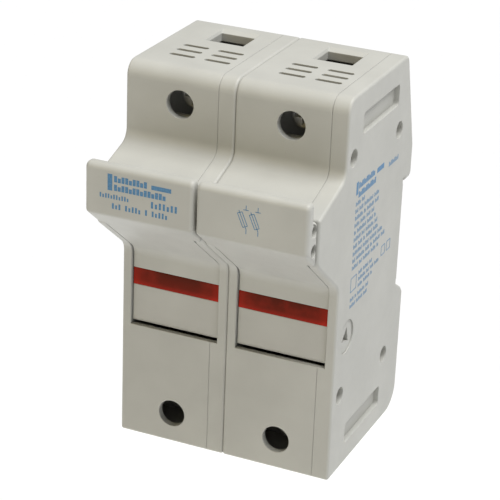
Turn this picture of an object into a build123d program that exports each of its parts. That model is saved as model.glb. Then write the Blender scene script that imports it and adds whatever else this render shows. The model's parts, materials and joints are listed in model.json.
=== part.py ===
from build123d import *
import math
import os

# Two-pole touch-safe holder for 20.6 x 57.2 mm cartridge fuses, with both fuses in place.
# Millimetres. X runs across the poles, Y from the front into the wall, Z up.
# Every piece is set out from the lower front face (Y = 0), the underside (Z = 0) and the middle
# of its own pole (X = 0). save() then moves it so that the origin is the centre of the rail seat.

# Whole holder
POLE_PITCH = 35.0
HEIGHT = 121.0
BACK_DEPTH = 57.4
SEAT_DEPTH = 50.5
SEAT_HEIGHT = 63.0
POLES = {"left": -0.5, "right": 0.5}  # places across the holder, in pole pitches

# Moulded walls and clearances
SIDE_WALL = 2.95
WALL = 2.2
PARTITION = 1.5
SEAT_WALL = 2.9
EDGE_ROUND = 0.8
SEAM_INSET = 5.3
SEAM_GROOVE = 0.1
PLAY = 0.3
RUNNING = 0.08
OVER = 1.0  # how far a cut runs past a face, and how far an inner wall is sunk into an outer one

# Front of the housing: the upper face, the roof over the carrier and the throat under the hood
UPPER_FRONT = 0.75
ROOF_Z = 97.55
ROOF_ANGLE = math.radians(17.9)
EAR_FRONT = -17.7
THROAT_Z = 63.6
THROAT_ANGLE = math.radians(38.2)
WINDOW_BOTTOM = 37.4
ROOF_GAP = 2.6  # from the roof down to the top of the carrier inside it

# Rail seat, hook and clip
SEAT_HALF = 16.0
SEAT_RELIEF = 0.3
NOTCH_TOP = 17.8
NOTCH_BOTTOM = 17.3
HOOK_LIP_DEPTH = 1.4
HOOK_GAP = 1.3
HOOK_SHOULDER_Z = 90.0
HOOK_STEP = 4.0
REAR_TOP_DEPTH = 48.3
CLIP_HALF = 5.7
CLIP_FLANGE_HALF = 7.5
CLIP_FLANGE = (51.0, 53.0)
CLIP_BOTTOM = 16.0
CLIP_SHOULDER = 41.2
CLIP_NOSE_Z = 46.8
CLIP_NOSE_DEPTH = 51.65
CLIP_NOSE_FLAT = 0.9
CLIP_NOSE_BEVEL = 4.0
CLIP_INSET = 0.4
CLIP_NOTCH = (3.0, 2.5, 4.0)  # half width, depth and height of the notch for a blade
CLIP_NOTCH_RISE = 6.0
CLIP_SPRING_RADIUS = 2.3
CLIP_SPRING_WIRE = 0.35
CLIP_SPRING_SEAT = 5.7
CLIP_SPRING_TURNS = 6

# Carrier, which tips forward on its trunnions
PIVOT_Y = 8.9
PIVOT_Z = 44.7
TRUNNION_RADIUS = 5.22
CARRIER_FRONT = 0.95
CARRIER_BOTTOM = 38.5
CARRIER_WALL = 2.25
CHEEK = 1.8
CHEEK_INSET = 0.4
HOOD_FRONT = -25.0
HOOD_TOP = 98.5
HOOD_LIP = 4.0
HOOD_STEP_Z = 91.5
HOOD_MARGIN = 0.4
HOOD_END_ROUND = 1.3
SKIN_FRONT = EAR_FRONT - 0.8
SKIN_TOP_END = -6.0
NECK_Y = 12.5
TRUNNION_INSET = 0.4
TRUNNION_RIM = 1.4
CRADLE_BOTTOMS = (58.0, 67.5)
CRADLE_RIB = 3.8
CRADLE_PAST = 2.4
CRADLE_CHANNEL = (7.0, 11.5)  # half width and depth of the channel for the feelers
WEB_HALF = 1.2
WEB_FRONT = -17.0
WEB_REAR = -6.0
LENS_Z = (50.6, 56.2)
LENS_THICK = 1.6
LENS_BORDER = 0.8
LABEL_BOTTOM = 39.0
LABEL_THICK = 0.5
TIE_PIN_RADIUS = 1.9
TIE_PIN_REACH = 4.0
TIE_PIN_PLACES = [(-20.6, 89.5), (-20.6, 83.5)]
COUPLING_RADIUS = 3.0
COUPLING_REACH = 3.0

# Fuse
FUSE_RADIUS = 10.3
FUSE_LENGTH = 57.2
FUSE_AXIS_Y = 24.0
FUSE_BOTTOM = 30.0
CAP_LENGTH = 12.7
CAP_WALL = 0.35
CAP_END = 1.2
CAP_ROUND = 0.8
TUBE_WALL = 2.3
ELEMENT_WIDTH = 5.0
ELEMENT_THICK = 0.3

# Contacts
STRIP = 1.5
BAR_HALF = 4.8
BAR_FRONT = 28.4
BAR_END = 4.0
SHELF_RISE = 4.8
BRIDGE_DROP = 1.6
REST_HALF = 3.0
REST_HEIGHT = 3.0
SPRING_STRIP = 0.6
SPRING_INSET = 2.0
UPPER_JAW_Z = (76.5, 86.0)
LOWER_JAW_Z = (31.0, 40.5)
UPPER_JAW_FRONT = 16.0
LOWER_JAW_FRONT = 17.0
JAW_FLARE = 1.5
JAW_FLARE_LENGTH = 3.0

# Terminals: a captive screw draws the cage forward and squeezes the wire against the bar
UPPER_TERMINAL_DROP = 10.5
LOWER_TERMINAL_Z = 9.9
ACCESS_RADIUS = 4.35
SCREW_RADIUS = 3.0
SCREW_HEAD_RADIUS = 3.9
SCREW_HEAD_Y = (9.8, 16.6)
SCREW_ROUND = 0.55
SCREW_SLOT_HALF = 0.55
SCREW_SLOT_DEPTH = 1.4
BULKHEAD_Y = 17.0
BULKHEAD_THICK = 1.2
RETAINER_GAP = 0.1
RETAINER_THICK = 0.8
CAGE_FRONT = 25.4
CAGE_FRONT_WALL = 2.5
CAGE_SIDE_WALL = 1.5
CAGE_REAR_WALL = 2.5
CAGE_HEIGHT = 11.0
CAGE_PLAY = 0.15
CAGE_CORNER = 1.2
WIRE_WIDTH = 11.6
WIRE_Y = (30.2, 41.2)
FUNNEL_WIDTH = 12.7
FUNNEL_Y = (29.9, 43.2)
FUNNEL_DEPTH = 0.9
COLLAR_DEPTH = 3.4
COLLAR_GAP = 0.2
PARTITION_GAP = 0.5

# Housing side details
RIVET_PLACES = [(5.9, 26.4), (43.0, 23.8)]
UPPER_RIVET_DROPS = [(5.9, 18.8), (43.6, 22.3)]
RIVET_RADIUS = 1.8
RIVET_HEAD_RADIUS = 2.6
RIVET_RECESS_RADIUS = 2.75
RIVET_RECESS = 2.3
RIVET_HEAD = 0.5
BOSS_RADIUS = 3.6
SLOT_Y = (12.3, 41.3)
SLOT_HEIGHT = 6.7
SLOT_DROP = 13.7
LOWER_SLOT_Z = 6.9
SLOT_RECESS = 1.6
SLOT_CORNER = 1.2
KEY_PLAY = 0.1
VENT_ROWS = (13.2, 18.0, 22.7)
VENT_WIDTH = 1.6
VENT_LENGTH = 8.2
VENT_OFFSET = 5.65

# Indicator lamp behind the lens
BOARD_Y = 8.6
BOARD_THICK = 1.2
BOARD_Z = (46.5, 57.2)
LAMP_RADIUS = 2.0
LAMP_LENGTH = 13.0
LAMP_Y = 6.0
RESISTOR_RADIUS = 1.3
RESISTOR_LENGTH = 6.6
RESISTOR_Z = 48.9
RESISTOR_LEAD = 2.0
LEAD_RADIUS = 0.3
FEELER_STRIP = 0.4
FEELER_X = (3.0, 6.0)
FEELER_FOOT = 3.0
ELEMENT_NOTCHES = 5
ELEMENT_NOTCH = 0.32  # radius of a notch, as a share of the element's width

HALF = POLE_PITCH / 2
INNER = HALF - SIDE_WALL
SEAM_X = HALF - SEAM_INSET
UPPER_TERMINAL_Z = HEIGHT - UPPER_TERMINAL_DROP
RIVETS = RIVET_PLACES + [(y, HEIGHT - drop) for y, drop in UPPER_RIVET_DROPS]
SLOT_BOTTOMS = [LOWER_SLOT_Z, HEIGHT - SLOT_DROP]
FUSE_TOP = FUSE_BOTTOM + FUSE_LENGTH
CARRIER_HALF = INNER - PLAY
CHEEK_INNER = CARRIER_HALF - CHEEK
JAW_INNER = FUSE_RADIUS + PLAY
JAW_OUTER = JAW_INNER + STRIP
BRIDGE_Y = FUSE_AXIS_Y + FUSE_RADIUS + STRIP + 0.2
TUBE_RADIUS = FUSE_RADIUS - CAP_WALL - 0.05
UPPER_FLOOR_Z = ROOF_Z - PARTITION
LOWER_CEILING_Z = 23.6
LABEL_Z = (LABEL_BOTTOM, LENS_Z[0])
SEAT_TOP = SEAT_HEIGHT + SEAT_HALF
SEAT_BOTTOM = SEAT_HEIGHT - SEAT_HALF


def block(x, y, z):
    """A box between two limits along each axis."""
    sizes = [high - low for low, high in (x, y, z)]
    middle = [(high + low) / 2 for low, high in (x, y, z)]
    return Pos(*middle) * Box(*sizes)


def rod_x(radius, x, y, z):
    """A cylinder along X between two limits, at depth y and height z."""
    return Pos((x[0] + x[1]) / 2, y, z) * Rot(0, 90, 0) * Cylinder(radius, x[1] - x[0])


def rod_y(radius, x, y, z):
    """A cylinder along Y between two limits."""
    return Pos(x, (y[0] + y[1]) / 2, z) * Rot(90, 0, 0) * Cylinder(radius, y[1] - y[0])


def rod_z(radius, x, y, z):
    """A cylinder along Z between two limits."""
    return Pos(x, y, (z[0] + z[1]) / 2) * Cylinder(radius, z[1] - z[0])


def side_plate(points, x, radii=None):
    """A side profile of (y, z) points, with rounded corners, extruded along X."""
    if radii:
        edge = FilletPolyline(*points, radius=radii, close=True)
    else:
        edge = Polyline(*points, close=True)
    return extrude(Plane.YZ.offset(x[0]) * make_face(edge.edges()), amount=x[1] - x[0])


def top_plate(points, z, radii=None):
    """A plan of (x, y) points, with rounded corners, extruded along Z."""
    if radii:
        edge = FilletPolyline(*points, radius=radii, close=True)
    else:
        edge = Polyline(*points, close=True)
    return extrude(Plane.XY.offset(z[0]) * make_face(edge.edges()), amount=z[1] - z[0])


def both_sides(piece):
    """A piece and its mirror image across the middle of the pole."""
    return piece + mirror(piece, about=Plane.YZ)


def roof_z(y, under=0.0):
    """Height of the roof at depth y, or of the surface that lies that far under it."""
    return ROOF_Z + (y - UPPER_FRONT) * math.tan(ROOF_ANGLE) - under / math.cos(ROOF_ANGLE)


def throat_z(y, behind=0.0):
    """Height of the throat slope at depth y, or of the surface that lies that far behind it."""
    return THROAT_Z - y * math.tan(THROAT_ANGLE) + behind / math.cos(THROAT_ANGLE)


def rear_depth(z):
    """Depth of the sloping upper back at height z."""
    share = (z - HOOK_SHOULDER_Z) / (HEIGHT - HOOK_SHOULDER_Z)
    return BACK_DEPTH + share * (REAR_TOP_DEPTH - BACK_DEPTH)


def housing_outline():
    """Corners of the housing's side profile, each with its radius."""
    seat = SEAT_DEPTH
    relief = SEAT_DEPTH - SEAT_RELIEF
    lip = SEAT_DEPTH + HOOK_GAP
    notch_top = SEAT_HEIGHT + NOTCH_TOP
    notch_bottom = SEAT_HEIGHT - NOTCH_BOTTOM
    return [
        ((0, 0), 1.0),
        ((0, THROAT_Z), 5.0),
        ((EAR_FRONT, throat_z(EAR_FRONT)), 4.5),
        ((EAR_FRONT, roof_z(EAR_FRONT)), 0.8),
        ((UPPER_FRONT, ROOF_Z), 4.0),
        ((UPPER_FRONT, HEIGHT), 4.5),
        ((REAR_TOP_DEPTH, HEIGHT), 2.5),
        ((BACK_DEPTH, HOOK_SHOULDER_Z), 3.0),
        ((BACK_DEPTH, notch_top - HOOK_LIP_DEPTH), 2.0),
        ((lip, notch_top - HOOK_LIP_DEPTH), 0.4),
        ((lip, notch_top), 0),
        ((relief, notch_top), 0),
        ((relief, SEAT_TOP), 0),
        ((seat, SEAT_TOP), 0),
        ((seat, SEAT_BOTTOM), 0),
        ((relief, SEAT_BOTTOM), 0),
        ((relief, notch_bottom), 0),
        ((SEAT_DEPTH + 5.2, notch_bottom - 3.5), 0.8),
        ((BACK_DEPTH, notch_bottom - 5.5), 0.6),
        ((BACK_DEPTH, 0), 8.0),
    ]


def housing_block():
    """The housing's outside, solid, with its side edges rounded away from the rail notch."""
    points, radii = zip(*housing_outline())
    solid = side_plate(points, (-HALF, HALF), radii)

    def is_rounded(edge):
        middle = edge @ 0.5
        on_side = abs(abs(middle.X) - HALF) < 0.01
        at_notch = middle.Y > SEAT_DEPTH - 1 and abs(middle.Z - SEAT_HEIGHT) < NOTCH_TOP + 5
        return on_side and not at_notch

    return fillet([edge for edge in solid.edges() if is_rounded(edge)], EDGE_ROUND)


def housing_cavity():
    """The space inside one pole, open at the front where the carrier goes in."""
    front = UPPER_FRONT + WALL
    back = SEAT_DEPTH - SEAT_WALL
    top = HEIGHT - WALL
    mouth = EAR_FRONT - OVER
    shoulder = HOOK_SHOULDER_Z + OVER
    corners = [
        (WALL, WALL),
        (WALL, WINDOW_BOTTOM),
        (mouth, WINDOW_BOTTOM),
        (mouth, roof_z(mouth, WALL)),
        (front, roof_z(front, WALL)),
        (front, top),
        (rear_depth(top) - WALL, top),
        (rear_depth(shoulder) - WALL, shoulder),
        (back, HOOK_SHOULDER_Z - HOOK_STEP),
        (back, WALL),
    ]
    return side_plate(corners, (-INNER, INNER))


def housing_inside():
    """Partitions, bulkheads, bosses and contact rests that stand inside one pole."""
    across = (-INNER, INNER)
    depth = (OVER, BAR_FRONT - PARTITION_GAP)
    bulkhead = (BULKHEAD_Y, BULKHEAD_Y + BULKHEAD_THICK)
    inside = block(across, depth, (UPPER_FLOOR_Z, UPPER_FLOOR_Z + PARTITION))
    inside += block(across, depth, (LOWER_CEILING_Z, LOWER_CEILING_Z + PARTITION))
    inside += block(across, bulkhead, (UPPER_FLOOR_Z, HEIGHT - OVER))
    inside += block(across, bulkhead, (OVER, LOWER_CEILING_Z + OVER))
    for y, z in RIVETS:
        inside += rod_x(BOSS_RADIUS, across, y, z)
    collar = (-FUNNEL_WIDTH / 2 - OVER, FUNNEL_WIDTH / 2 + OVER)
    collar_y = (WIRE_Y[0] - COLLAR_GAP, FUNNEL_Y[1] + OVER)
    inside += block(collar, collar_y, (HEIGHT - COLLAR_DEPTH, HEIGHT - OVER))
    inside += block(collar, collar_y, (OVER, COLLAR_DEPTH))
    rest = (-REST_HALF, REST_HALF)
    rest_z = (UPPER_JAW_Z[1] + OVER, UPPER_JAW_Z[1] + OVER + REST_HEIGHT)
    inside += block(rest, (BRIDGE_Y + STRIP, BACK_DEPTH - WALL), rest_z)
    rest_z = (LOWER_CEILING_Z - REST_HEIGHT, LOWER_CEILING_Z)
    inside += block(rest, (BAR_FRONT + STRIP, SEAT_DEPTH - WALL), rest_z)
    return inside


def wire_entry(face_z, inwards):
    """The funnel and hole for one wire, cut from the face at height face_z."""
    wire_depth = WIRE_Y[1] - WIRE_Y[0]
    funnel_depth = FUNNEL_Y[1] - FUNNEL_Y[0]
    mouth = Pos(0, sum(FUNNEL_Y) / 2, face_z) * Rectangle(FUNNEL_WIDTH, funnel_depth)
    throat_height = face_z + inwards * FUNNEL_DEPTH
    throat = Pos(0, sum(WIRE_Y) / 2, throat_height) * Rectangle(WIRE_WIDTH, wire_depth)
    ends = sorted((face_z - inwards * OVER, face_z + inwards * (COLLAR_DEPTH + OVER)))
    hole = block((-WIRE_WIDTH / 2, WIRE_WIDTH / 2), WIRE_Y, ends)
    return loft([mouth.face(), throat.face()]) + hole


def side_recesses():
    """Rivet recesses and joining slots, cut from both sides of one pole."""
    cuts = Part()
    slot_length = SLOT_Y[1] - SLOT_Y[0]
    for bottom in SLOT_BOTTOMS:
        place = Plane.YZ.offset(HALF - SLOT_RECESS) * Pos(sum(SLOT_Y) / 2, bottom + SLOT_HEIGHT / 2)
        slot = place * RectangleRounded(slot_length, SLOT_HEIGHT, SLOT_CORNER)
        cuts += both_sides(extrude(slot, amount=SLOT_RECESS + OVER))
    for y, z in RIVETS:
        cuts += both_sides(rod_x(RIVET_RECESS_RADIUS, (HALF - RIVET_RECESS, HALF + OVER), y, z))
        cuts += rod_x(RIVET_RADIUS + RUNNING, (-HALF, HALF), y, z)
    cuts += rod_x(TRUNNION_RADIUS + RUNNING, (-HALF - OVER, HALF + OVER), PIVOT_Y, PIVOT_Z)
    return cuts


def rail_clip_channel():
    """The T-shaped channel in the back where the rail clip slides, open at the ledge."""
    height = (CLIP_SPRING_SEAT, CLIP_SHOULDER + PLAY)
    flange = CLIP_FLANGE_HALF + PLAY
    stem = CLIP_HALF + PLAY
    behind = BACK_DEPTH + OVER
    wide = block((-flange, flange), (CLIP_FLANGE[0] - PLAY, CLIP_FLANGE[1] + PLAY), height)
    narrow = block((-stem, stem), (CLIP_FLANGE[1], behind), height)
    mouth_z = (CLIP_SHOULDER, SEAT_BOTTOM + OVER)
    mouth = block((-stem, stem), (CLIP_NOSE_DEPTH - PLAY, behind), mouth_z)
    return wide + narrow + mouth


def vents():
    """Two columns of cooling slots through the top."""
    cuts = Part()
    for y in VENT_ROWS:
        for side in (-VENT_OFFSET, VENT_OFFSET):
            slot = Pos(side, y, HEIGHT - WALL - OVER) * SlotOverall(VENT_LENGTH, VENT_WIDTH)
            cuts += extrude(slot, amount=WALL + 2 * OVER)
    return cuts


def seam_groove():
    """A fine groove round the outside where the shell meets the cover."""
    points, radii = zip(*housing_outline())
    outline = make_face(FilletPolyline(*points, radius=radii, close=True).edges())
    ring = outline - offset(outline, amount=-SEAM_GROOVE)
    return extrude(Plane.YZ.offset(SEAM_X - SEAM_GROOVE / 2) * ring, amount=SEAM_GROOVE)


def carrier_sweep():
    """The cylinder that the carrier's lower front corner sweeps as it tips."""
    corner = math.hypot(PIVOT_Y - CARRIER_FRONT, PIVOT_Z - CARRIER_BOTTOM)
    return rod_x(corner + PLAY, (-INNER, INNER), PIVOT_Y, PIVOT_Z)


def housing():
    """One pole's housing before it is parted at the seam."""
    body = housing_block() - housing_cavity() + housing_inside()
    body -= carrier_sweep()
    body -= side_recesses()
    body -= rail_clip_channel()
    body -= wire_entry(HEIGHT, -1) + wire_entry(0, 1)
    body -= vents()
    bulkhead = (BULKHEAD_Y - OVER, BULKHEAD_Y + BULKHEAD_THICK + OVER)
    for z in (UPPER_TERMINAL_Z, LOWER_TERMINAL_Z):
        body -= rod_y(ACCESS_RADIUS, 0, (-OVER, UPPER_FRONT + WALL + OVER), z)
        body -= rod_y(SCREW_RADIUS + RUNNING, 0, bulkhead, z)
    return body - seam_groove()


def housing_half(body, low, high):
    """The part of the housing between two planes across X."""
    depth = (HOOD_FRONT - OVER, BACK_DEPTH + OVER)
    return body & block((low, high), depth, (-OVER, HEIGHT + OVER))


def housing_rivets():
    """Four headed rivets that hold the shell and cover together."""
    rivets = Part()
    for y, z in RIVETS:
        rivets += rod_x(RIVET_RADIUS, (-HALF + RIVET_RECESS, HALF - RIVET_RECESS), y, z)
        head_x = (HALF - RIVET_RECESS, HALF - RIVET_RECESS + RIVET_HEAD)
        head = rod_x(RIVET_HEAD_RADIUS, head_x, y, z) - rod_x(RIVET_RADIUS / 2, head_x, y, z)
        rivets += both_sides(head)
    return rivets


def upper_contact():
    """Spring jaws for the upper cap, with the strip that rises to the upper terminal."""
    inner = JAW_INNER
    outer = JAW_OUTER
    front = UPPER_JAW_FRONT
    mouth = UPPER_JAW_FRONT - JAW_FLARE_LENGTH
    rear = BRIDGE_Y
    right = [
        ((outer, rear + STRIP), 2.5),
        ((outer, front), 0),
        ((outer + JAW_FLARE, mouth), 0),
        ((inner + JAW_FLARE, mouth), 0),
        ((inner, front), 0),
        ((inner, rear), 1.0),
    ]
    left = [((-x, y), radius) for (x, y), radius in reversed(right)]
    points, radii = zip(*(right + left))
    jaws = top_plate(points, UPPER_JAW_Z, radii)
    across = (-BAR_HALF, BAR_HALF)
    shelf_z = FUSE_TOP + SHELF_RISE
    contact = jaws + block(across, (rear, rear + STRIP), (UPPER_JAW_Z[1] - OVER, shelf_z + STRIP))
    contact += block(across, (BAR_FRONT, rear + STRIP), (shelf_z, shelf_z + STRIP))
    contact += block(across, (BAR_FRONT, BAR_FRONT + STRIP), (shelf_z, HEIGHT - BAR_END))
    return contact


def lower_contact():
    """Jaws for the lower cap, joined under the fuse, with the strip to the lower terminal."""
    front = LOWER_JAW_FRONT
    rear = FUSE_AXIS_Y + FUSE_RADIUS - PLAY
    bridge_top = FUSE_BOTTOM - BRIDGE_DROP
    bridge_z = (bridge_top - STRIP, bridge_top)
    jaw_z = (bridge_z[0], LOWER_JAW_Z[1])
    contact = both_sides(block((JAW_INNER, JAW_OUTER), (front, rear), jaw_z))
    contact += block((-JAW_OUTER, JAW_OUTER), (front, rear), bridge_z)
    contact += block((-BAR_HALF, BAR_HALF), (BAR_FRONT, BAR_FRONT + STRIP), (BAR_END, bridge_top))
    return contact


def upper_clip_spring():
    """Steel spring round the outside of the upper jaws."""
    inner = JAW_OUTER
    outer = JAW_OUTER + SPRING_STRIP
    front = UPPER_JAW_FRONT + SPRING_INSET
    rear = BRIDGE_Y + STRIP
    right = [
        ((outer, rear + SPRING_STRIP), 3.1),
        ((outer, front), 0),
        ((inner, front), 0),
        ((inner, rear), 2.5),
    ]
    left = [((-x, y), radius) for (x, y), radius in reversed(right)]
    points, radii = zip(*(right + left))
    return top_plate(points, (UPPER_JAW_Z[0] + SPRING_INSET, UPPER_JAW_Z[1] - SPRING_INSET), radii)


def lower_clip_spring():
    """Steel spring under and outside the lower jaws, ahead of the strip."""
    depth = (LOWER_JAW_FRONT + SPRING_INSET, BAR_FRONT - SPRING_INSET)
    bottom = FUSE_BOTTOM - BRIDGE_DROP - STRIP
    leaf_z = (bottom - SPRING_STRIP, LOWER_JAW_Z[1] - SPRING_INSET)
    leaf = block((JAW_OUTER, JAW_OUTER + SPRING_STRIP), depth, leaf_z)
    return both_sides(leaf) + block((-JAW_OUTER, JAW_OUTER), depth, (leaf_z[0], bottom))


def clamp_cage(terminal_z):
    """Square cage round the strip and the wire, with the screw's hole in its front wall."""
    inner = WIRE_WIDTH / 2 + CAGE_PLAY
    outer = inner + CAGE_SIDE_WALL
    inner_front = CAGE_FRONT + CAGE_FRONT_WALL
    rear = WIRE_Y[1] - CAGE_PLAY
    height = (terminal_z - CAGE_HEIGHT / 2, terminal_z + CAGE_HEIGHT / 2)
    far = rear + CAGE_REAR_WALL
    ring = [(-outer, CAGE_FRONT), (outer, CAGE_FRONT), (outer, far), (-outer, far)]
    cage = top_plate(ring, height, [CAGE_CORNER] * len(ring))
    cage -= block((-inner, inner), (inner_front, rear), height)
    hole = (CAGE_FRONT - OVER, inner_front + OVER)
    return cage - rod_y(SCREW_RADIUS + RUNNING, 0, hole, terminal_z)


def clamp_screw(terminal_z):
    """Terminal screw with a cross slot, kept in the bulkhead by a retaining ring."""
    head = rod_y(SCREW_HEAD_RADIUS, 0, SCREW_HEAD_Y, terminal_z)
    head = fillet(head.edges().sort_by(Axis.Y)[0], SCREW_ROUND)
    slot_y = (SCREW_HEAD_Y[0] - OVER, SCREW_HEAD_Y[0] + SCREW_SLOT_DEPTH)
    reach = SCREW_HEAD_RADIUS - OVER
    for half_x, half_z in ((reach, SCREW_SLOT_HALF), (SCREW_SLOT_HALF, reach)):
        z = (terminal_z - half_z, terminal_z + half_z)
        head -= block((-half_x, half_x), slot_y, z)
    shank_y = (SCREW_HEAD_Y[1] - SCREW_ROUND, BAR_FRONT - COLLAR_GAP)
    ring_front = BULKHEAD_Y + BULKHEAD_THICK + RETAINER_GAP
    ring = rod_y(SCREW_HEAD_RADIUS, 0, (ring_front, ring_front + RETAINER_THICK), terminal_z)
    return head + rod_y(SCREW_RADIUS, 0, shank_y, terminal_z) + ring


def hood_block():
    """The finger hood along the top of the carrier, as wide as the pole."""
    half = HALF - HOOD_MARGIN
    back = EAR_FRONT - PLAY - RUNNING
    lip_back = HOOD_FRONT + HOOD_LIP
    corners = [
        ((HOOD_FRONT, throat_z(HOOD_FRONT)), 1.5),
        ((HOOD_FRONT, HOOD_TOP), 1.8),
        ((lip_back, HOOD_TOP), 1.2),
        ((lip_back, HOOD_STEP_Z), 1.2),
        ((back, HOOD_STEP_Z), 0.6),
        ((back, throat_z(back)), 0),
    ]
    points, radii = zip(*corners)
    hood = side_plate(points, (-half, half), radii)
    ends = [edge for edge in hood.edges() if abs(abs((edge @ 0.5).X) - half) < 0.01]
    outer_ends = [edge for edge in ends if (edge @ 0.5).Y < lip_back + RUNNING]
    return fillet(outer_ends, HOOD_END_ROUND)


def carrier_skin():
    """Front plate, throat slope and top of the carrier, in one bent wall."""
    front = CARRIER_FRONT
    wall = CARRIER_WALL
    back = SKIN_FRONT
    top_end = SKIN_TOP_END
    top = ROOF_GAP
    corners = [
        ((front, CARRIER_BOTTOM), 0.4),
        ((front, throat_z(front)), 5.0),
        ((back, throat_z(back)), 0),
        ((back, roof_z(back, top)), 0),
        ((top_end, roof_z(top_end, top)), 0.5),
        ((top_end, roof_z(top_end, top + wall)), 0.5),
        ((back + wall, roof_z(back + wall, top + wall)), 1.0),
        ((back + wall, throat_z(back + wall, wall)), 1.0),
        ((front + wall, throat_z(front + wall, wall)), 2.8),
        ((front + wall, CARRIER_BOTTOM), 0.4),
    ]
    points, radii = zip(*corners)
    return side_plate(points, (-CARRIER_HALF, CARRIER_HALF), radii)


def carrier_cheeks():
    """The two side plates of the carrier, which bear the trunnions."""
    back = SKIN_FRONT + CHEEK_INSET
    front = CARRIER_FRONT + CHEEK_INSET
    top_end = SKIN_TOP_END - CHEEK_INSET
    rim = TRUNNION_RADIUS + TRUNNION_RIM
    corners = [
        (front, CARRIER_BOTTOM + CHEEK_INSET),
        (front, throat_z(front, CHEEK_INSET)),
        (back, throat_z(back, CHEEK_INSET)),
        (back, roof_z(back, ROOF_GAP)),
        (top_end, roof_z(top_end, ROOF_GAP)),
        (PIVOT_Y, FUSE_TOP - OVER),
        (NECK_Y, UPPER_JAW_Z[0] - BRIDGE_DROP),
        (NECK_Y, PIVOT_Z + 2 * rim),
        (PIVOT_Y + rim, PIVOT_Z + rim / 2),
        (PIVOT_Y + rim, PIVOT_Z - rim / 2),
        (PIVOT_Y + rim / 2, CARRIER_BOTTOM),
    ]
    cheek = side_plate(corners, (CHEEK_INNER, CARRIER_HALF))
    trunnion = rod_x(TRUNNION_RADIUS, (CHEEK_INNER, HALF - TRUNNION_INSET), PIVOT_Y, PIVOT_Z)
    return both_sides(cheek + trunnion)


def fuse_cradle():
    """Two ribs between the cheeks that snap round the fuse, and a web behind the upper cap."""
    across = (-CHEEK_INNER - RUNNING, CHEEK_INNER + RUNNING)
    depth = (CARRIER_FRONT + CARRIER_WALL - RUNNING, FUSE_AXIS_Y + CRADLE_PAST)
    tunnel = rod_z(TUBE_RADIUS + RUNNING, 0, FUSE_AXIS_Y, (FUSE_BOTTOM, FUSE_TOP))
    half, back = CRADLE_CHANNEL
    channel = block((-half, half), (0, back), (FUSE_BOTTOM, FUSE_TOP))
    cradle = Part()
    for low in CRADLE_BOTTOMS:
        cradle += block(across, depth, (low, low + CRADLE_RIB)) - tunnel - channel
    sunk = CARRIER_WALL - PLAY
    top = ROOF_GAP + sunk
    cap_front = FUSE_AXIS_Y - FUSE_RADIUS
    web = [
        (WEB_FRONT, throat_z(WEB_FRONT, sunk)),
        (WEB_REAR, throat_z(WEB_REAR, sunk)),
        (cap_front, UPPER_JAW_Z[0]),
        (cap_front, FUSE_TOP - BRIDGE_DROP),
        (SKIN_TOP_END, roof_z(SKIN_TOP_END, top)),
        (WEB_FRONT, roof_z(WEB_FRONT, top)),
    ]
    return cradle + side_plate(web, (-WEB_HALF, WEB_HALF))


def coupling_prism(reach, radius):
    """Three-sided prism on the pivot axis, reaching the same way to both sides of X = 0."""
    triangle = Plane.YZ.offset(-reach) * Pos(PIVOT_Y, PIVOT_Z) * RegularPolygon(radius, 3, rotation=75)
    return extrude(triangle, amount=2 * reach)


def fuse_carrier():
    """The moulded carrier that tips forward with its fuse."""
    past_front = CARRIER_FRONT - OVER
    lens_y = (past_front, CARRIER_FRONT + LENS_THICK)
    window_y = (past_front, CARRIER_FRONT + CARRIER_WALL + OVER)
    window_z = (LENS_Z[0] + LENS_BORDER, LENS_Z[1] - LENS_BORDER)
    across = (-HALF, HALF)
    carrier = carrier_skin() + carrier_cheeks() + fuse_cradle() + hood_block()
    carrier -= block(across, lens_y, LENS_Z)
    carrier -= block((-CHEEK_INNER, CHEEK_INNER), window_y, window_z)
    carrier -= block(across, (past_front, CARRIER_FRONT + LABEL_THICK), LABEL_Z)
    for side in (-1, 1):
        carrier -= Pos(side * HALF, 0, 0) * coupling_prism(COUPLING_REACH, COUPLING_RADIUS)
        hole_end = side * (HALF - HOOD_MARGIN)
        hole = sorted((hole_end - side * TIE_PIN_REACH, hole_end + side))
        for y, z in TIE_PIN_PLACES:
            carrier -= rod_x(TIE_PIN_RADIUS + RUNNING, hole, y, z)
    return carrier


def indicator_lens():
    """Clear red strip across the carrier, with a thicker middle that fills the window."""
    play = RUNNING / 2
    strip_z = (LENS_Z[0] + play, LENS_Z[1] - play)
    inner_z = (strip_z[0] + LENS_BORDER, strip_z[1] - LENS_BORDER)
    inner = CHEEK_INNER - play
    back = CARRIER_FRONT + LENS_THICK - play
    lens = block((-CARRIER_HALF, CARRIER_HALF), (CARRIER_FRONT, back), strip_z)
    return lens + block((-inner, inner), (CARRIER_FRONT + OVER, CARRIER_FRONT + CARRIER_WALL), inner_z)


def label_plate():
    """Blank marking plate let into the carrier below the lens."""
    depth = (CARRIER_FRONT, CARRIER_FRONT + LABEL_THICK)
    return block((-CARRIER_HALF, CARRIER_HALF), depth, LABEL_Z)


def indicator_board():
    """Small board across the carrier that holds the lamp and its resistor."""
    return block((-CHEEK_INNER, CHEEK_INNER), (BOARD_Y, BOARD_Y + BOARD_THICK), BOARD_Z)


def lead_wires(half_span, y, z):
    """Two wire leads from a component at depth y to the board."""
    leads = Part()
    for x in (-half_span, half_span):
        leads += rod_y(LEAD_RADIUS, x, (y, BOARD_Y), z)
    return leads


def neon_lamp():
    """Tubular lamp close behind the lens."""
    z = sum(LENS_Z) / 2
    half = LAMP_LENGTH / 2
    bulb = rod_x(LAMP_RADIUS, (-half, half), LAMP_Y, z)
    bulb = fillet(bulb.edges().filter_by(GeomType.CIRCLE), LAMP_RADIUS * 0.6)
    return bulb + lead_wires(half - LAMP_RADIUS, LAMP_Y, z)


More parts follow.
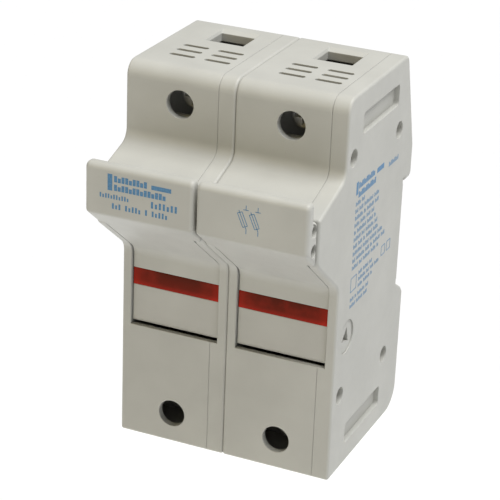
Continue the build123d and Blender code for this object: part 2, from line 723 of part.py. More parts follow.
def lamp_resistor():
    """Series resistor with its two leads."""
    half = RESISTOR_LENGTH / 2
    end = half + RESISTOR_LEAD
    y = BOARD_Y - RESISTOR_RADIUS - PLAY
    body = rod_x(RESISTOR_RADIUS, (-half, half), y, RESISTOR_Z)
    body += rod_x(LEAD_RADIUS, (-end, end), y, RESISTOR_Z)
    return body + lead_wires(end - LEAD_RADIUS, y, RESISTOR_Z)


def indicator_contacts():
    """Two thin feelers from the board, one to each cap of the fuse."""
    back = BOARD_Y + BOARD_THICK
    front = back + FEELER_STRIP
    tip = FUSE_AXIS_Y - math.sqrt(FUSE_RADIUS**2 - FEELER_X[0] ** 2) - RUNNING
    feelers = Part()
    for side, foot, cap, up in ((1, BOARD_Z[0], FUSE_TOP, 1), (-1, BOARD_Z[1], FUSE_BOTTOM, -1)):
        rim = cap - up * CAP_LENGTH
        corners = [
            (back, foot + up * FEELER_FOOT),
            (front, foot + up * FEELER_FOOT),
            (front, rim - up * FEELER_FOOT),
            (tip, rim + up * OVER),
            (tip, rim + up * 2 * OVER),
            (back, rim - up * (FEELER_FOOT - FEELER_STRIP)),
        ]
        feelers += side_plate(corners, sorted(side * x for x in FEELER_X))
    return feelers


def fuse_tube():
    """Insulating body of the fuse."""
    z = (FUSE_BOTTOM + CAP_END, FUSE_TOP - CAP_END)
    bore = rod_z(TUBE_RADIUS - TUBE_WALL, 0, FUSE_AXIS_Y, z)
    return rod_z(TUBE_RADIUS, 0, FUSE_AXIS_Y, z) - bore


def fuse_cap(end, inwards):
    """Metal cap over one end of the fuse."""
    outer = rod_z(FUSE_RADIUS, 0, FUSE_AXIS_Y, sorted((end, end + inwards * CAP_LENGTH)))
    rim = outer.edges().filter_by(GeomType.CIRCLE).sort_by(Axis.Z)
    outer = fillet(rim[0] if inwards > 0 else rim[-1], CAP_ROUND)
    mouth = sorted((end + inwards * CAP_END, end + inwards * (CAP_LENGTH + OVER)))
    return outer - rod_z(TUBE_RADIUS, 0, FUSE_AXIS_Y, mouth)


def fuse_element():
    """Notched strip that melts, from cap to cap."""
    z = (FUSE_BOTTOM + CAP_END, FUSE_TOP - CAP_END)
    y = (FUSE_AXIS_Y - ELEMENT_THICK / 2, FUSE_AXIS_Y + ELEMENT_THICK / 2)
    strip = block((-ELEMENT_WIDTH / 2, ELEMENT_WIDTH / 2), y, z)
    spacing = FUSE_LENGTH / (ELEMENT_NOTCHES + 1)
    for index in range(ELEMENT_NOTCHES):
        height = FUSE_BOTTOM + spacing * (index + 1)
        for x in (-ELEMENT_WIDTH / 2, ELEMENT_WIDTH / 2):
            strip -= rod_y(ELEMENT_WIDTH * ELEMENT_NOTCH, x, (y[0] - OVER, y[1] + OVER), height)
    return strip


def fuse_filler():
    """Packed sand that fills the tube round the element."""
    z = (FUSE_BOTTOM + CAP_END, FUSE_TOP - CAP_END)
    sand = rod_z(TUBE_RADIUS - TUBE_WALL, 0, FUSE_AXIS_Y, z)
    slot_y = (FUSE_AXIS_Y - ELEMENT_THICK / 2, FUSE_AXIS_Y + ELEMENT_THICK / 2)
    return sand - block((-ELEMENT_WIDTH / 2, ELEMENT_WIDTH / 2), slot_y, z)


def rail_clip():
    """Sliding clip with a bevelled nose that catches behind the rail's lower edge."""
    back = BACK_DEPTH - CLIP_INSET
    height = (CLIP_BOTTOM, CLIP_SHOULDER)
    body = block((-CLIP_FLANGE_HALF, CLIP_FLANGE_HALF), CLIP_FLANGE, height)
    body += block((-CLIP_HALF, CLIP_HALF), (CLIP_FLANGE[1] - RUNNING, back), height)
    nose = [
        (CLIP_NOSE_DEPTH, CLIP_SHOULDER - RUNNING),
        (CLIP_NOSE_DEPTH, CLIP_NOSE_Z),
        (CLIP_NOSE_DEPTH + CLIP_NOSE_FLAT, CLIP_NOSE_Z),
        (back, CLIP_NOSE_Z - CLIP_NOSE_BEVEL),
        (back, CLIP_SHOULDER - RUNNING),
    ]
    body += side_plate(nose, (-CLIP_HALF, CLIP_HALF))
    half, deep, high = CLIP_NOTCH
    notch_bottom = CLIP_BOTTOM + CLIP_NOTCH_RISE
    return body - block((-half, half), (back - deep, back + OVER), (notch_bottom, notch_bottom + high))


def rail_clip_spring():
    """Compression spring that pushes the rail clip up."""
    wire = CLIP_SPRING_WIRE
    length = CLIP_BOTTOM - CLIP_SPRING_SEAT - 2 * wire
    middle = (CLIP_FLANGE[0] + BACK_DEPTH) / 2
    pitch = length / CLIP_SPRING_TURNS
    coil = Helix(pitch, length, CLIP_SPRING_RADIUS, center=(0, middle, CLIP_SPRING_SEAT + wire))
    section = Plane(origin=coil @ 0, z_dir=coil % 0) * Circle(wire)
    return sweep(section, path=coil)


def joining_key(bottom):
    """Flat key that fills the facing slots of the two poles."""
    place = Plane.YZ.offset(-SLOT_RECESS) * Pos(sum(SLOT_Y) / 2, bottom + SLOT_HEIGHT / 2)
    length = SLOT_Y[1] - SLOT_Y[0] - 2 * KEY_PLAY
    key = place * RectangleRounded(length, SLOT_HEIGHT - 2 * KEY_PLAY, SLOT_CORNER - KEY_PLAY)
    return extrude(key, amount=2 * SLOT_RECESS)


def carrier_tie_pins():
    """Two pins that tie the hoods, so that both carriers tip together."""
    reach = HOOD_MARGIN + TIE_PIN_REACH
    pins = Part()
    for y, z in TIE_PIN_PLACES:
        pins += rod_x(TIE_PIN_RADIUS, (-reach, reach), y, z)
    return pins


def save(name, piece, across=0.0):
    """Write one piece, moved to its pole and to the centre of the rail seat."""
    placed = Pos(across, -SEAT_DEPTH, -SEAT_HEIGHT) * piece
    solids = placed.solids()
    shape = solids[0] if len(solids) == 1 else Compound(solids)
    shape.label = name
    export_step(shape, f"parts/{name}.step")


def pole_pieces():
    """Every piece of one pole by name, at the middle of the pole."""
    body = housing()
    return {
        "housing_shell": housing_half(body, -HALF - 1, SEAM_X),
        "housing_cover": housing_half(body, SEAM_X, HALF + 1),
        "housing_rivets": housing_rivets(),
        "upper_contact": upper_contact(),
        "lower_contact": lower_contact(),
        "upper_clip_spring": upper_clip_spring(),
        "lower_clip_spring": lower_clip_spring(),
        "upper_clamp_cage": clamp_cage(UPPER_TERMINAL_Z),
        "lower_clamp_cage": clamp_cage(LOWER_TERMINAL_Z),
        "upper_clamp_screw": clamp_screw(UPPER_TERMINAL_Z),
        "lower_clamp_screw": clamp_screw(LOWER_TERMINAL_Z),
        "fuse_carrier": fuse_carrier(),
        "indicator_lens": indicator_lens(),
        "label_plate": label_plate(),
        "indicator_board": indicator_board(),
        "neon_lamp": neon_lamp(),
        "lamp_resistor": lamp_resistor(),
        "indicator_contacts": indicator_contacts(),
        "fuse_tube": fuse_tube(),
        "fuse_cap_top": fuse_cap(FUSE_TOP, -1),
        "fuse_cap_bottom": fuse_cap(FUSE_BOTTOM, 1),
        "fuse_element": fuse_element(),
        "fuse_filler": fuse_filler(),
        "rail_clip": rail_clip(),
        "rail_clip_spring": rail_clip_spring(),
    }


os.makedirs("parts", exist_ok=True)
for part_name, part_piece in pole_pieces().items():
    for side_name, place in POLES.items():
        save(f"{side_name}_{part_name}", part_piece, place * POLE_PITCH)
save("carrier_tie_pins", carrier_tie_pins())
save("pivot_coupling", coupling_prism(COUPLING_REACH, COUPLING_RADIUS - KEY_PLAY))
for key_name, key_bottom in zip(("pole_link_lower", "pole_link_upper"), SLOT_BOTTOMS):
    save(key_name, joining_key(key_bottom))
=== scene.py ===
"""Looks for a two-pole DIN-rail fuse holder: materials, printed marks, floor, light and camera.

Metres, +Z up, +Y into the wall. The origin is the centre of the rail seat.
"""

import json
import math

import bmesh
import bpy
from mathutils import Matrix, Vector

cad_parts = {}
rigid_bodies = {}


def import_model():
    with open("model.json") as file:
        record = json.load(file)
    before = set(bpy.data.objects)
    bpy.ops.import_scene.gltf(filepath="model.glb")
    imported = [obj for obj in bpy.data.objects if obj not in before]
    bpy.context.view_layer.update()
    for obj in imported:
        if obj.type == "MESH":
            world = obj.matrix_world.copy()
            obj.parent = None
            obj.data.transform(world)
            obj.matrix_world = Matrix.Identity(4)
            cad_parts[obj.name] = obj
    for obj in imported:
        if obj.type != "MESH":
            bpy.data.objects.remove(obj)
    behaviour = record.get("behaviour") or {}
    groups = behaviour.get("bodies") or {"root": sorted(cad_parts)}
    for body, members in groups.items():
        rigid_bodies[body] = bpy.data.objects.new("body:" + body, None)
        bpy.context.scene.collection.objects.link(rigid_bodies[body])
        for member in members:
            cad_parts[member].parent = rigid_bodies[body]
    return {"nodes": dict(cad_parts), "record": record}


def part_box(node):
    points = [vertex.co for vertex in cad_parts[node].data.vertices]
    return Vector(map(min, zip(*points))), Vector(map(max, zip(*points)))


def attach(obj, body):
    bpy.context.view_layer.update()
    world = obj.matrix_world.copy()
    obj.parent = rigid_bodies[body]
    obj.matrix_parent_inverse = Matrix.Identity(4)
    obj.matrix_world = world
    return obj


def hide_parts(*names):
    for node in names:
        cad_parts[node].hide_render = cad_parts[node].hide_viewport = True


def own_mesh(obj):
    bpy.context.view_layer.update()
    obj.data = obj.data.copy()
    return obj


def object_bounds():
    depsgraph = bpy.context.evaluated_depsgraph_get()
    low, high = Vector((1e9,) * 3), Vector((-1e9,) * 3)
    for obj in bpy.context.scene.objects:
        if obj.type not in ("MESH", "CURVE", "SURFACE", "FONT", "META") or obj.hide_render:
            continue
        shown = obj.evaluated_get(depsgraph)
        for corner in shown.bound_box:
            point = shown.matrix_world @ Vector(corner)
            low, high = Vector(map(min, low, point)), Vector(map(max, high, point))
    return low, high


MM = 0.001

# Camera, as offsets from the middle of the holder
CAMERA_AZIMUTH = math.radians(23.33)
CAMERA_ELEVATION = math.radians(23.7)
CAMERA_ROLL = math.radians(2.29)
CAMERA_DISTANCE = 0.5778
CAMERA_LENS = 142.45
CAMERA_AIM = Vector((6.64, -16.2, 9.65)) * MM

# Colours, linear
WHITE = (1, 1, 1)
BLACK = (0, 0, 0)
WARM_GREY = (0.465, 0.464, 0.430)
WARM_GREY_PALE = (0.500, 0.499, 0.463)
LABEL_GREY = (0.462, 0.458, 0.424)
LABEL_GREY_PALE = (0.497, 0.493, 0.457)
CLIP_GREY = (0.45, 0.44, 0.40)
CLIP_GREY_PALE = (0.50, 0.49, 0.45)
DUST = (0.30, 0.28, 0.24)
PRINT_BLUE = (0.050, 0.165, 0.31)
STEEL = (0.62, 0.62, 0.61)

# The red lens, in painted light and shade: painted shade in its middle, between, and painted light at its
# ends; then from its foot in painted light to its top edge in painted shade
RED_PAINTED_SHADE = (0.110, 0.015, 0.006)
RED_HALF_PAINTED_SHADE = (0.200, 0.017, 0.007)
RED_PAINTED_LIGHT = (0.46, 0.024, 0.011)
RED_FOOT_PAINTED_LIGHT = (0.55, 0.03, 0.02)
RED_BODY = (0.20, 0.018, 0.009)
RED_TOP_PAINTED_SHADE = (0.075, 0.012, 0.005)
RED_CLOUD = (0.27, 0.022, 0.011)

# How far a material softens the edges of a piece
PLASTIC_EDGE = 0.4 * MM
LENS_EDGE = 0.2 * MM
METAL_EDGE = 0.25 * MM

# Lights, as offsets in metres from the middle of the holder, and powers in watts
OVERHEAD_PLACE = (0.36, -0.02, 1.05)
OVERHEAD_SIZE = 0.7
OVERHEAD_POWER = 15.8
FRONT_PLACE = (-0.5, -1.3, 0.5)
FRONT_SIZE = 0.9
FRONT_POWER = 2.9
FRONT_COLOUR = (1.0, 0.76, 0.20)
FLOOR_WASH = 2.75  # watts per square metre
FLOOR_SIZE = 6.0
ROOM = 0.20

# Printed marks: ticks stand for letters
INK_THICKNESS = 0.03 * MM
INK_STROKE = 0.28 * MM
SYMBOL_STROKE = 0.2 * MM
TICK_PITCH = 0.62  # of a row's height
TICK_WEIGHT = 0.55  # a tick's width over its pitch
TICK_WEIGHT_BOLD = 0.80
TICK_SHORT = 0.72  # height of a short tick over that of a tall one
HOOD_PRINT_DROP = 8 * MM
SIDE_PRINT_FRONT = -41.0 * MM
SIDE_PRINT_TOP = 30.5 * MM

# Rows of ticks in millimetres: left end, middle, height, ticks in each word, weight
HOOD_ROWS = (
    (-7.2, 4.4, 1.9, (9,), TICK_WEIGHT_BOLD),
    (-7.2, 1.8, 1.9, (14,), TICK_WEIGHT_BOLD),
    (-12.0, -1.1, 1.4, (11,), TICK_WEIGHT),
    (4.4, -1.2, 2.0, (7,), TICK_WEIGHT),
    (-8.0, -3.9, 1.7, (3, 5, 1, 5), TICK_WEIGHT),
)
SIDE_HEAD_ROWS = (
    (2.6, -1.6, 1.9, (11,), TICK_WEIGHT_BOLD),
    (2.6, -4.4, 1.9, (12,), TICK_WEIGHT_BOLD),
    (27.0, -3.4, 1.5, (9,), TICK_WEIGHT),
)

# Blocks of even rows on the side: left end, first row, pitch and height in millimetres, then words
SIDE_RATINGS = (0.6, -6.9, 2.25, 1.3, (
    (5, 3),
    (3, 4, 9, 5),
    (8, 2, 7, 4),
    (5, 5, 4, 3),
    (2, 9, 6, 2),
    (7, 3, 8, 3),
    (4, 4, 2, 6, 5),
    (9, 6, 7, 5),
    (3, 8, 4, 2, 7, 4),
    (6, 3, 7, 5, 2),
))
SIDE_APPROVALS = (6.4, -30.6, 2.1, 1.2, ((4, 6, 3), (8, 3, 4, 5), (5, 7, 2)))
SIDE_FOOT = (0.6, -37.4, 2.1, 1.2, ((4, 2, 8, 3), (6, 7, 4)))

# Plain square frames on the side in millimetres: middle across, middle up, size
SIDE_FRAMES = ((26.5, -31.0, 3.0), (31.0, -31.0, 3.0), (2.4, -32.6, 4.4))


# ---------------------------------------------------------------- material nodes


class Nodes:
    """A material's node tree, with short calls for the nodes used here."""

    def __init__(self, name):
        self.material = bpy.data.materials.new(name)
        self.material.use_nodes = True
        self.tree = self.material.node_tree
        self.shader = self.tree.nodes["Principled BSDF"]
        self.place = self.add("ShaderNodeTexCoord").outputs["Object"]

    def add(self, kind, **settings):
        node = self.tree.nodes.new(kind)
        for key, value in settings.items():
            setattr(node, key, value)
        return node

    def link(self, output, socket):
        self.tree.links.new(output, socket)

    def colour(self, output):
        self.link(output, self.shader.inputs["Base Color"])

    def rough(self, output):
        self.link(output, self.shader.inputs["Roughness"])

    def set(self, **values):
        """Constants on the shader's own sockets; an underscore in a name stands for a space."""
        for key, value in values.items():
            self.shader.inputs[key.replace("_", " ")].default_value = value

    def stretched(self, scale):
        """Object coordinates scaled differently along each axis."""
        node = self.add("ShaderNodeMapping")
        self.link(self.place, node.inputs["Vector"])
        node.inputs["Scale"].default_value = scale
        return node.outputs["Vector"]

    def noise(self, size, detail=2.0, place=None, roughness=0.5):
        """Noise whose features are about size metres across."""
        node = self.add("ShaderNodeTexNoise")
        self.link(place or self.place, node.inputs["Vector"])
        node.inputs["Scale"].default_value = 1 / size
        node.inputs["Detail"].default_value = detail
        node.inputs["Roughness"].default_value = roughness
        return node.outputs["Fac"]

    def wave(self, axis, size, distortion=0.0, profile="SIN"):
        """Bands along one axis, with a pitch of about 0.63 of size."""
        node = self.add("ShaderNodeTexWave", wave_type="BANDS", bands_direction=axis, wave_profile=profile)
        self.link(self.place, node.inputs["Vector"])
        node.inputs["Scale"].default_value = 1 / size / 2
        node.inputs["Distortion"].default_value = distortion
        return node.outputs["Fac"]

    def ramp(self, value, stops):
        """Colours along a 0 to 1 value; stops are (position, colour)."""
        node = self.add("ShaderNodeValToRGB")
        self.link(value, node.inputs["Fac"])
        elements = node.color_ramp.elements
        while len(elements) < len(stops):
            elements.new(0.5)
        for element, (position, colour) in zip(elements, stops):
            element.position = position
            element.color = (*colour, 1)
        return node.outputs["Color"]

    def spread(self, value, low, high):
        """A 0 to 1 value rescaled between two numbers."""
        node = self.add("ShaderNodeMapRange")
        self.link(value, node.inputs["Value"])
        node.inputs["To Min"].default_value = low
        node.inputs["To Max"].default_value = high
        return node.outputs["Result"]

    def span(self, value, low, high):
        """How far a value lies between two numbers, from 0 to 1."""
        node = self.add("ShaderNodeMapRange")
        self.link(value, node.inputs["Value"])
        node.inputs["From Min"].default_value = low
        node.inputs["From Max"].default_value = high
        return node.outputs["Result"]

    def maths(self, operation, *values):
        """One arithmetic step; each value may be a socket or a number."""
        node = self.add("ShaderNodeMath", operation=operation)
        for socket, value in zip(node.inputs, values):
            if isinstance(value, bpy.types.NodeSocket):
                self.link(value, socket)
            else:
                socket.default_value = value
        return node.outputs[0]

    def mix(self, factor, first, second):
        """Two colours mixed by a factor; each may be a socket or a plain colour."""
        node = self.add("ShaderNodeMix", data_type="RGBA")
        sockets = [s for s in node.inputs if s.enabled]
        for socket, value in zip(sockets, (factor, first, second)):
            if isinstance(value, bpy.types.NodeSocket):
                self.link(value, socket)
            elif isinstance(value, (int, float)):
                socket.default_value = value
            else:
                socket.default_value = (*value, 1)
        return [s for s in node.outputs if s.enabled][0]

    def bump(self, height, depth, strength=1.0, edge=0.0):
        """Surface relief of a given depth in metres, with edges softened over a radius."""
        node = self.add("ShaderNodeBump")
        self.link(height, node.inputs["Height"])
        node.inputs["Distance"].default_value = depth
        node.inputs["Strength"].default_value = strength
        if edge:
            bevel = self.add("ShaderNodeBevel", samples=6)
            bevel.inputs["Radius"].default_value = edge
            self.link(bevel.outputs["Normal"], node.inputs["Normal"])
        self.link(node.outputs["Normal"], self.shader.inputs["Normal"])


def moulded_plastic(name, dark, pale, roughness=0.46):
    """Matte moulded plastic: a fine spark-eroded grain, faint cloudiness and a little dust."""
    n = Nodes(name)
    clean = n.ramp(n.noise(14 * MM, detail=3), [(0.35, dark), (0.7, pale)])
    dusty = tuple((plastic + dust) / 2 for plastic, dust in zip(dark, DUST))
    specks = n.ramp(n.noise(1.1 * MM, detail=4, roughness=0.7), [(0.66, BLACK), (0.72, WHITE)])
    n.colour(n.mix(n.maths("MULTIPLY", specks, 0.35), clean, dusty))
    n.rough(n.spread(n.noise(2.5 * MM, detail=3), roughness - 0.06, roughness + 0.08))
    n.bump(n.noise(0.35 * MM), depth=0.02 * MM, strength=0.5, edge=PLASTIC_EDGE)
    n.set(IOR=1.52, Specular_IOR_Level=0.35)
    return n.material


def red_lens(name, middle_x, low, high):
    """Clear red moulding with fine ribs, with painted shade in its middle and at its top edge, and painted
    light at its ends and at its foot.

    middle_x is how far each pole's middle lies from X = 0, and low and high are one lens's corners.
    """
    n = Nodes(name)
    axes = n.add("ShaderNodeSeparateXYZ")
    n.link(n.place, axes.inputs["Vector"])
    from_middle = n.maths("ABSOLUTE", axes.outputs["X"])
    reach = n.maths("ABSOLUTE", n.maths("SUBTRACT", from_middle, middle_x))
    outwards = n.span(reach, 0, (high.x - low.x) / 2)
    upwards = n.span(axes.outputs["Z"], low.z, high.z)
    # painted shade in the middle of each lens, painted light towards its ends
    along = n.ramp(outwards, [(0.45, RED_PAINTED_SHADE), (0.80, RED_HALF_PAINTED_SHADE), (0.97, RED_PAINTED_LIGHT)])
    # painted light at the foot of the lens, painted shade at its top edge
    up = n.ramp(upwards, [(0.0, RED_FOOT_PAINTED_LIGHT), (0.30, RED_BODY), (0.95, RED_TOP_PAINTED_SHADE)])
    clouds = n.ramp(n.noise(4 * MM, detail=3), [(0.45, BLACK), (0.75, (0.6, 0.6, 0.6))])
    n.colour(n.mix(clouds, n.mix(0.5, along, up), RED_CLOUD))
    n.rough(n.spread(n.noise(1.5 * MM), 0.16, 0.26))
    n.bump(n.wave("X", 2.2 * MM, 0.6), depth=0.03 * MM, strength=0.3, edge=LENS_EDGE)
    n.set(IOR=1.45, Specular_IOR_Level=0.05, Coat_Weight=0.03, Coat_Roughness=0.1)
    return n.material


def metal(name, colour, tarnish, roughness, brushed=(1, 1, 1)):
    """Plated metal with tarnish in patches and fine marks, drawn out where brushed is uneven."""
    n = Nodes(name)
    patches = n.noise(3.5 * MM, detail=4, roughness=0.6)
    n.colour(n.ramp(patches, [(0.35, tarnish), (0.65, colour)]))
    marks = n.noise(0.25 * MM, detail=3, place=n.stretched(brushed))
    n.rough(n.spread(marks, roughness - 0.07, roughness + 0.12))
    n.bump(marks, depth=0.008 * MM, strength=0.5, edge=METAL_EDGE)
    n.set(Metallic=1.0)
    return n.material


def woven_tube(name):
    """Resin-bonded glass cloth with a fine over-and-under weave."""
    n = Nodes(name)
    weave = n.maths("MULTIPLY", n.wave("Z", 0.9 * MM, 1.2), n.wave("X", 0.9 * MM, 1.2))
    cloth = n.ramp(n.noise(6 * MM, detail=3), [(0.3, (0.62, 0.55, 0.38)), (0.7, (0.72, 0.66, 0.49))])
    n.colour(n.mix(n.spread(weave, 0.0, 0.3), cloth, (0.80, 0.75, 0.60)))
    n.rough(n.spread(weave, 0.32, 0.46))
    n.bump(weave, depth=0.04 * MM, strength=0.6)
    n.set(IOR=1.5, Coat_Weight=0.25, Coat_Roughness=0.2)
    return n.material


def circuit_board(name):
    """Green resist over laminate, with the weave just showing."""
    n = Nodes(name)
    cloth = n.noise(0.8 * MM, detail=1, place=n.stretched((1, 1, 0.4)))
    n.colour(n.ramp(cloth, [(0.3, (0.02, 0.12, 0.045)), (0.7, (0.035, 0.18, 0.07))]))
    n.rough(n.spread(cloth, 0.28, 0.4))
    n.bump(cloth, depth=0.02 * MM, strength=0.4)
    n.set(Coat_Weight=0.3, Coat_Roughness=0.15)
    return n.material


def lamp_glass(name):
    """Thin clear glass of the neon lamp, with slight draw marks."""
    n = Nodes(name)
    marks = n.noise(1 * MM, place=n.stretched((0.2, 1, 1)))
    n.colour(n.ramp(marks, [(0.3, (0.95, 0.78, 0.66)), (0.7, (1.0, 0.86, 0.76))]))
    n.rough(n.spread(marks, 0.02, 0.08))
    n.bump(marks, depth=0.01 * MM, strength=0.3)
    n.set(IOR=1.47, Transmission_Weight=0.85)
    return n.material


def resistor_body(name):
    """Tan lacquer with coloured bands round the body."""
    n = Nodes(name)
    bands = n.wave("X", 3.3 * MM, profile="SAW")
    n.colour(n.ramp(bands, [(0.12, (0.12, 0.05, 0.02)), (0.2, (0.55, 0.42, 0.26))]))
    lacquer = n.noise(0.6 * MM)
    n.rough(n.spread(lacquer, 0.25, 0.4))
    n.bump(lacquer, depth=0.02 * MM, strength=0.4)
    n.set(Coat_Weight=0.4, Coat_Roughness=0.1)
    return n.material


def packed_sand(name):
    """Pale quartz sand, bound hard."""
    n = Nodes(name)
    grains = n.noise(0.35 * MM, detail=4, roughness=0.7)
    n.colour(n.ramp(grains, [(0.3, (0.42, 0.37, 0.29)), (0.7, (0.66, 0.61, 0.52))]))
    n.rough(n.spread(grains, 0.7, 0.95))
    n.bump(grains, depth=0.1 * MM, strength=0.8)
    return n.material


def print_ink(name):
    """Blue pad-printed ink, thin enough to show the grain under it."""
    n = Nodes(name)
    wear = n.noise(0.5 * MM, detail=3, roughness=0.7)
    worn = tuple(c * 1.5 + 0.04 for c in PRINT_BLUE)
    n.colour(n.ramp(wear, [(0.35, PRINT_BLUE), (0.75, worn)]))
    n.rough(n.spread(wear, 0.4, 0.6))
    n.bump(wear, depth=0.01 * MM, strength=0.3)
    return n.material


def studio_floor(name):
    """Matte white paper."""
    n = Nodes(name)
    fibre = n.noise(2 * MM, detail=3)
    n.colour(n.ramp(fibre, [(0.3, (0.93, 0.93, 0.93)), (0.7, (0.97, 0.97, 0.97))]))
    n.rough(n.spread(fibre, 0.85, 0.95))
    n.set(Specular_IOR_Level=0.1)
    return n.material


def paint_nodes(nodes, record):
    """Give every CAD node the material of its slot."""
    lens_low, lens_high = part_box("right_indicator_lens")
    pole_middle = (lens_low.x + lens_high.x) / 2
    looks = {
        "housing_plastic": moulded_plastic("housing_plastic", WARM_GREY, WARM_GREY_PALE),
        "carrier_plastic": moulded_plastic("carrier_plastic", WARM_GREY, WARM_GREY_PALE, roughness=0.44),
        "label_plastic": moulded_plastic("label_plastic", LABEL_GREY, LABEL_GREY_PALE, roughness=0.42),
        "clip_plastic": moulded_plastic("clip_plastic", CLIP_GREY, CLIP_GREY_PALE),
        "red_lens": red_lens("red_lens", pole_middle, lens_low, lens_high),
        "plated_copper": metal("plated_copper", (0.80, 0.74, 0.66), (0.62, 0.50, 0.40), 0.3, (1, 1, 0.1)),
        "spring_steel": metal("spring_steel", (0.50, 0.51, 0.53), (0.38, 0.38, 0.40), 0.25, (1, 1, 0.15)),
        "zinc_steel": metal("zinc_steel", STEEL, (0.50, 0.50, 0.47), 0.36),
        "screw_steel": metal("screw_steel", (0.74, 0.73, 0.68), STEEL, 0.38),
        "rivet_steel": metal("rivet_steel", (0.60, 0.58, 0.52), (0.42, 0.40, 0.36), 0.5),
        "circuit_board": circuit_board("circuit_board"),
        "lamp_glass": lamp_glass("lamp_glass"),
        "resistor_body": resistor_body("resistor_body"),
        "fuse_tube": woven_tube("fuse_tube"),
        "fuse_cap": metal("fuse_cap", (0.70, 0.71, 0.73), (0.55, 0.55, 0.56), 0.26, (1, 1, 8)),
        "fuse_sand": packed_sand("fuse_sand"),
    }
    slot_of = {entry["node"]: entry["material_slot"] for entry in record["subparts"]}
    for name, node in nodes.items():
        node.data.materials.clear()
        node.data.materials.append(looks[slot_of[name]])


def coil_springs(nodes):
    """Stand-ins for the rail clips' springs, copied from the CAD springs and riding on the housing; the
    real springs shorten as the clips slide down.
    """
    for side in ("left", "right"):
        name = f"{side}_rail_clip_spring"
        coil = bpy.data.objects.new(f"{side}_clip_coil", nodes[name].data.copy())
        bpy.context.scene.collection.objects.link(coil)
        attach(coil, "housing")
        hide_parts(name)
        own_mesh(coil)


# ---------------------------------------------------------------- printed marks


class Print:
    """Flat ink shapes on one face. Points are (across, up) in metres from the print's origin."""

    def __init__(self, name, origin, across, up):
        self.name = name
        out = across.cross(up)
        self.place = Matrix((across, up, out)).transposed().to_4x4()
        self.place.translation = origin
        self.mesh = bmesh.new()

    def shape(self, corners):
        """A closed slab of ink with the given corners."""
        rings = []
        for height in (-INK_THICKNESS, INK_THICKNESS):
            rings.append([self.mesh.verts.new((x, y, height)) for x, y in corners])
        bottom, top = rings
        self.mesh.faces.new(reversed(bottom))
        self.mesh.faces.new(top)
        for index in range(len(corners)):
            after = (index + 1) % len(corners)
            self.mesh.faces.new((bottom[index], bottom[after], top[after], top[index]))

    def bar(self, x, y, width, height):
        """An upright rectangle centred on a point."""
        w, h = width / 2, height / 2
        self.shape([(x - w, y - h), (x + w, y - h), (x + w, y + h), (x - w, y + h)])

    def stroke(self, start, end, width=INK_STROKE):
        """A straight line of ink between two points."""
        start, end = Vector(start), Vector(end)
        along = (end - start).normalized()
        side = Vector((-along.y, along.x)) * width / 2
        self.shape([tuple(p) for p in (start - side, end - side, end + side, start + side)])

    def outline(self, corners, width=INK_STROKE):
        """A closed line of ink through the corners."""
        for index, corner in enumerate(corners):
            self.stroke(corner, corners[(index + 1) % len(corners)], width)

    def frame(self, x, y, size):
        """The outline of an upright square."""
        w = size / 2
        self.outline([(x - w, y - w), (x + w, y - w), (x + w, y + w), (x - w, y + w)])

    def finish(self, material, body, slot):
        """The ink as one piece that rides on a body, in the given material; slot is not used."""
        bmesh.ops.recalc_face_normals(self.mesh, faces=self.mesh.faces)
        mesh = bpy.data.meshes.new(self.name)
        self.mesh.to_mesh(mesh)
        self.mesh.free()
        mesh.transform(self.place)
        mesh.materials.append(material)
        piece = bpy.data.objects.new(self.name, mesh)
        bpy.context.scene.collection.objects.link(piece)
        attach(piece, body)
        return piece


def greeked_words(ink, rows):
    """Rows of ticks in groups, in place of words."""
    for left, y, height, words, weight in rows:
        pitch = TICK_PITCH * height
        x = left
        for word in words:
            for letter in range(word):
                tall = height * TICK_SHORT if letter % 3 == 1 else height
                middle_y = y - (height - tall) / 2
                ink.bar(x * MM, middle_y * MM, weight * pitch * MM, tall * MM)
                x += pitch
            x += pitch


def greeked_block(ink, block):
    """Even rows of ticks under each other."""
    left, first, pitch, height, rows = block
    for index, words in enumerate(rows):
        greeked_words(ink, [(left, first - pitch * index, height, words, TICK_WEIGHT)])


def hood_face(name, side):
    """A print on the middle of a hood's flat front face."""
    low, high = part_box(f"{side}_fuse_carrier")
    place = Vector(((low.x + high.x) / 2, low.y, high.z - HOOD_PRINT_DROP))
    return Print(name, place, Vector((1, 0, 0)), Vector((0, 0, 1)))


def left_hood_print(material):
    """Two bars and rows of ticks on the left hood, in place of its name and rating."""
    ink = hood_face("left_hood_print", "left")
    ink.bar(-9.0 * MM, 3.2 * MM, 1.5 * MM, 5.0 * MM)
    ink.bar(7.2 * MM, 4.1 * MM, 6.2 * MM, 1.3 * MM)
    greeked_words(ink, HOOD_ROWS)
    return ink.finish(material, "fuse_carriers", "carrier_plastic")


def fuse_switch_symbol(ink, x, y):
    """The usual symbol of a fuse that is also the blade of a switch."""
    lean = 1.3 * MM
    half = 2.0 * MM
    width = 0.75 * MM
    top = Vector((x - lean, y + half))
    bottom = Vector((x + lean * 0.35, y - half))
    along = (bottom - top).normalized()
    side = Vector((-along.y, along.x)) * width
    ink.outline([top - side, top + side, bottom + side, bottom - side], SYMBOL_STROKE)
    foot = bottom + along * 0.8 * MM
    ink.stroke(top - along * 0.7 * MM, foot, SYMBOL_STROKE)
    ink.stroke(foot, (foot.x, foot.y - 1.4 * MM), SYMBOL_STROKE)
    head = Vector((foot.x - 0.2 * MM, y + half + 1.0 * MM))
    ink.stroke((head.x - 0.8 * MM, head.y), (head.x + 0.8 * MM, head.y), SYMBOL_STROKE)
    ink.stroke(head, (head.x, head.y + 1.4 * MM), SYMBOL_STROKE)


def right_hood_print(material):
    """Two fuse-switch symbols, one for each pole."""
    ink = hood_face("right_hood_print", "right")
    for x in (-2.3 * MM, 1.3 * MM):
        fuse_switch_symbol(ink, x, 0.2 * MM)
    return ink.finish(material, "fuse_carriers", "carrier_plastic")


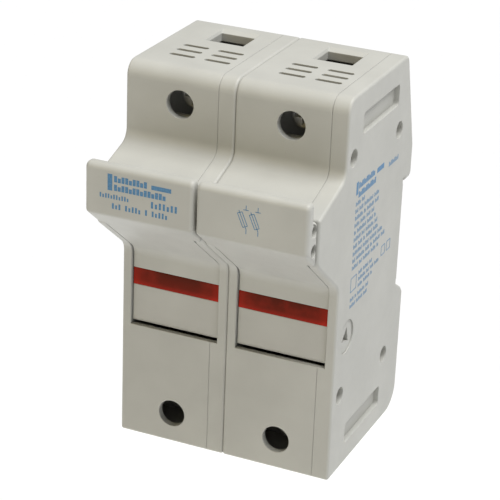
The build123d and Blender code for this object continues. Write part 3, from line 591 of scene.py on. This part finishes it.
def side_print(material):
    """Bars, ticks and plain frames on the right side, in place of a ratings block."""
    low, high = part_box("right_housing_cover")
    corner = Vector((high.x, SIDE_PRINT_FRONT, SIDE_PRINT_TOP))
    ink = Print("side_print", corner, Vector((0, 1, 0)), Vector((0, 0, 1)))
    ink.bar(0.8 * MM, -2.0 * MM, 1.6 * MM, 4.0 * MM)
    ink.bar(19.6 * MM, -2.0 * MM, 5.6 * MM, 1.6 * MM)
    greeked_words(ink, SIDE_HEAD_ROWS)
    for block in (SIDE_RATINGS, SIDE_APPROVALS, SIDE_FOOT):
        greeked_block(ink, block)
    for across, up, size in SIDE_FRAMES:
        ink.frame(across * MM, up * MM, size * MM)
    return ink.finish(material, "housing", "housing_plastic")


# ---------------------------------------------------------------- floor, light, camera


def make_floor(height):
    """A square of paper that the holder stands on."""
    bpy.ops.mesh.primitive_plane_add(size=FLOOR_SIZE, location=(0, 0, height))
    floor = bpy.context.object
    floor.name = "studio_floor"
    floor.data.materials.append(studio_floor("studio_floor"))
    return floor


def collect(name, piece, state):
    """A collection that tells a light to include or exclude one piece."""
    group = bpy.data.collections.new(name)
    group.objects.link(piece)
    group.collection_objects[0].light_linking.link_state = state
    return group


def lamp(name, kind, place, aim, strength, colour=WHITE):
    """A light at a place, turned to a point."""
    data = bpy.data.lights.new(name, kind)
    data.energy = strength
    data.color = colour
    light = bpy.data.objects.new(name, data)
    light.location = place
    light.rotation_mode = "QUATERNION"
    light.rotation_quaternion = (aim - place).to_track_quat("-Z", "Y")
    bpy.context.scene.collection.objects.link(light)
    return light


def make_light(middle, floor):
    """A softbox overhead to the right, a warm one in front, a wash on the floor, a dim room."""
    overhead = lamp("overhead", "AREA", middle + Vector(OVERHEAD_PLACE), middle, OVERHEAD_POWER)
    overhead.data.size = OVERHEAD_SIZE
    front = lamp("front_fill", "AREA", middle + Vector(FRONT_PLACE), middle, FRONT_POWER, FRONT_COLOUR)
    front.data.size = FRONT_SIZE
    for light in (overhead, front):
        light.light_linking.receiver_collection = collect(f"{light.name}_lights", floor, "EXCLUDE")
    wash = lamp("floor_wash", "SUN", middle + Vector((0, 0, 1)), middle, FLOOR_WASH)
    wash.light_linking.receiver_collection = collect("floor_wash_lights", floor, "INCLUDE")
    wash.light_linking.blocker_collection = collect("floor_wash_shadows", floor, "INCLUDE")
    world = bpy.data.worlds.new("white_room")
    bpy.context.scene.world = world
    world.use_nodes = True
    room = world.node_tree.nodes["Background"]
    room.inputs["Color"].default_value = (*WHITE, 1)
    room.inputs["Strength"].default_value = ROOM


def make_camera(middle):
    """The camera, aimed near the middle of the holder and rolled a little."""
    data = bpy.data.cameras.new("camera")
    data.lens = CAMERA_LENS
    camera = bpy.data.objects.new("camera", data)
    level = Vector((math.sin(CAMERA_AZIMUTH), -math.cos(CAMERA_AZIMUTH), 0))
    back = level * math.cos(CAMERA_ELEVATION) + Vector((0, 0, math.sin(CAMERA_ELEVATION)))
    camera.location = middle + CAMERA_AIM + back * CAMERA_DISTANCE
    camera.rotation_mode = "QUATERNION"
    turn = (-back).to_track_quat("-Z", "Y").to_matrix() @ Matrix.Rotation(CAMERA_ROLL, 3, "Z")
    camera.rotation_quaternion = turn.to_quaternion()
    bpy.context.scene.collection.objects.link(camera)
    bpy.context.scene.camera = camera


# ---------------------------------------------------------------- the scene

for old in list(bpy.data.objects):
    bpy.data.objects.remove(old)

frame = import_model()
cad_low, cad_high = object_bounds()
middle = (cad_low + cad_high) / 2

paint_nodes(frame["nodes"], frame["record"])
coil_springs(frame["nodes"])
ink = print_ink("print_ink")
left_hood_print(ink)
right_hood_print(ink)
side_print(ink)

studio = make_floor(cad_low.z)
make_light(middle, studio)
make_camera(middle)
bpy.context.scene.view_settings.view_transform = "Standard"
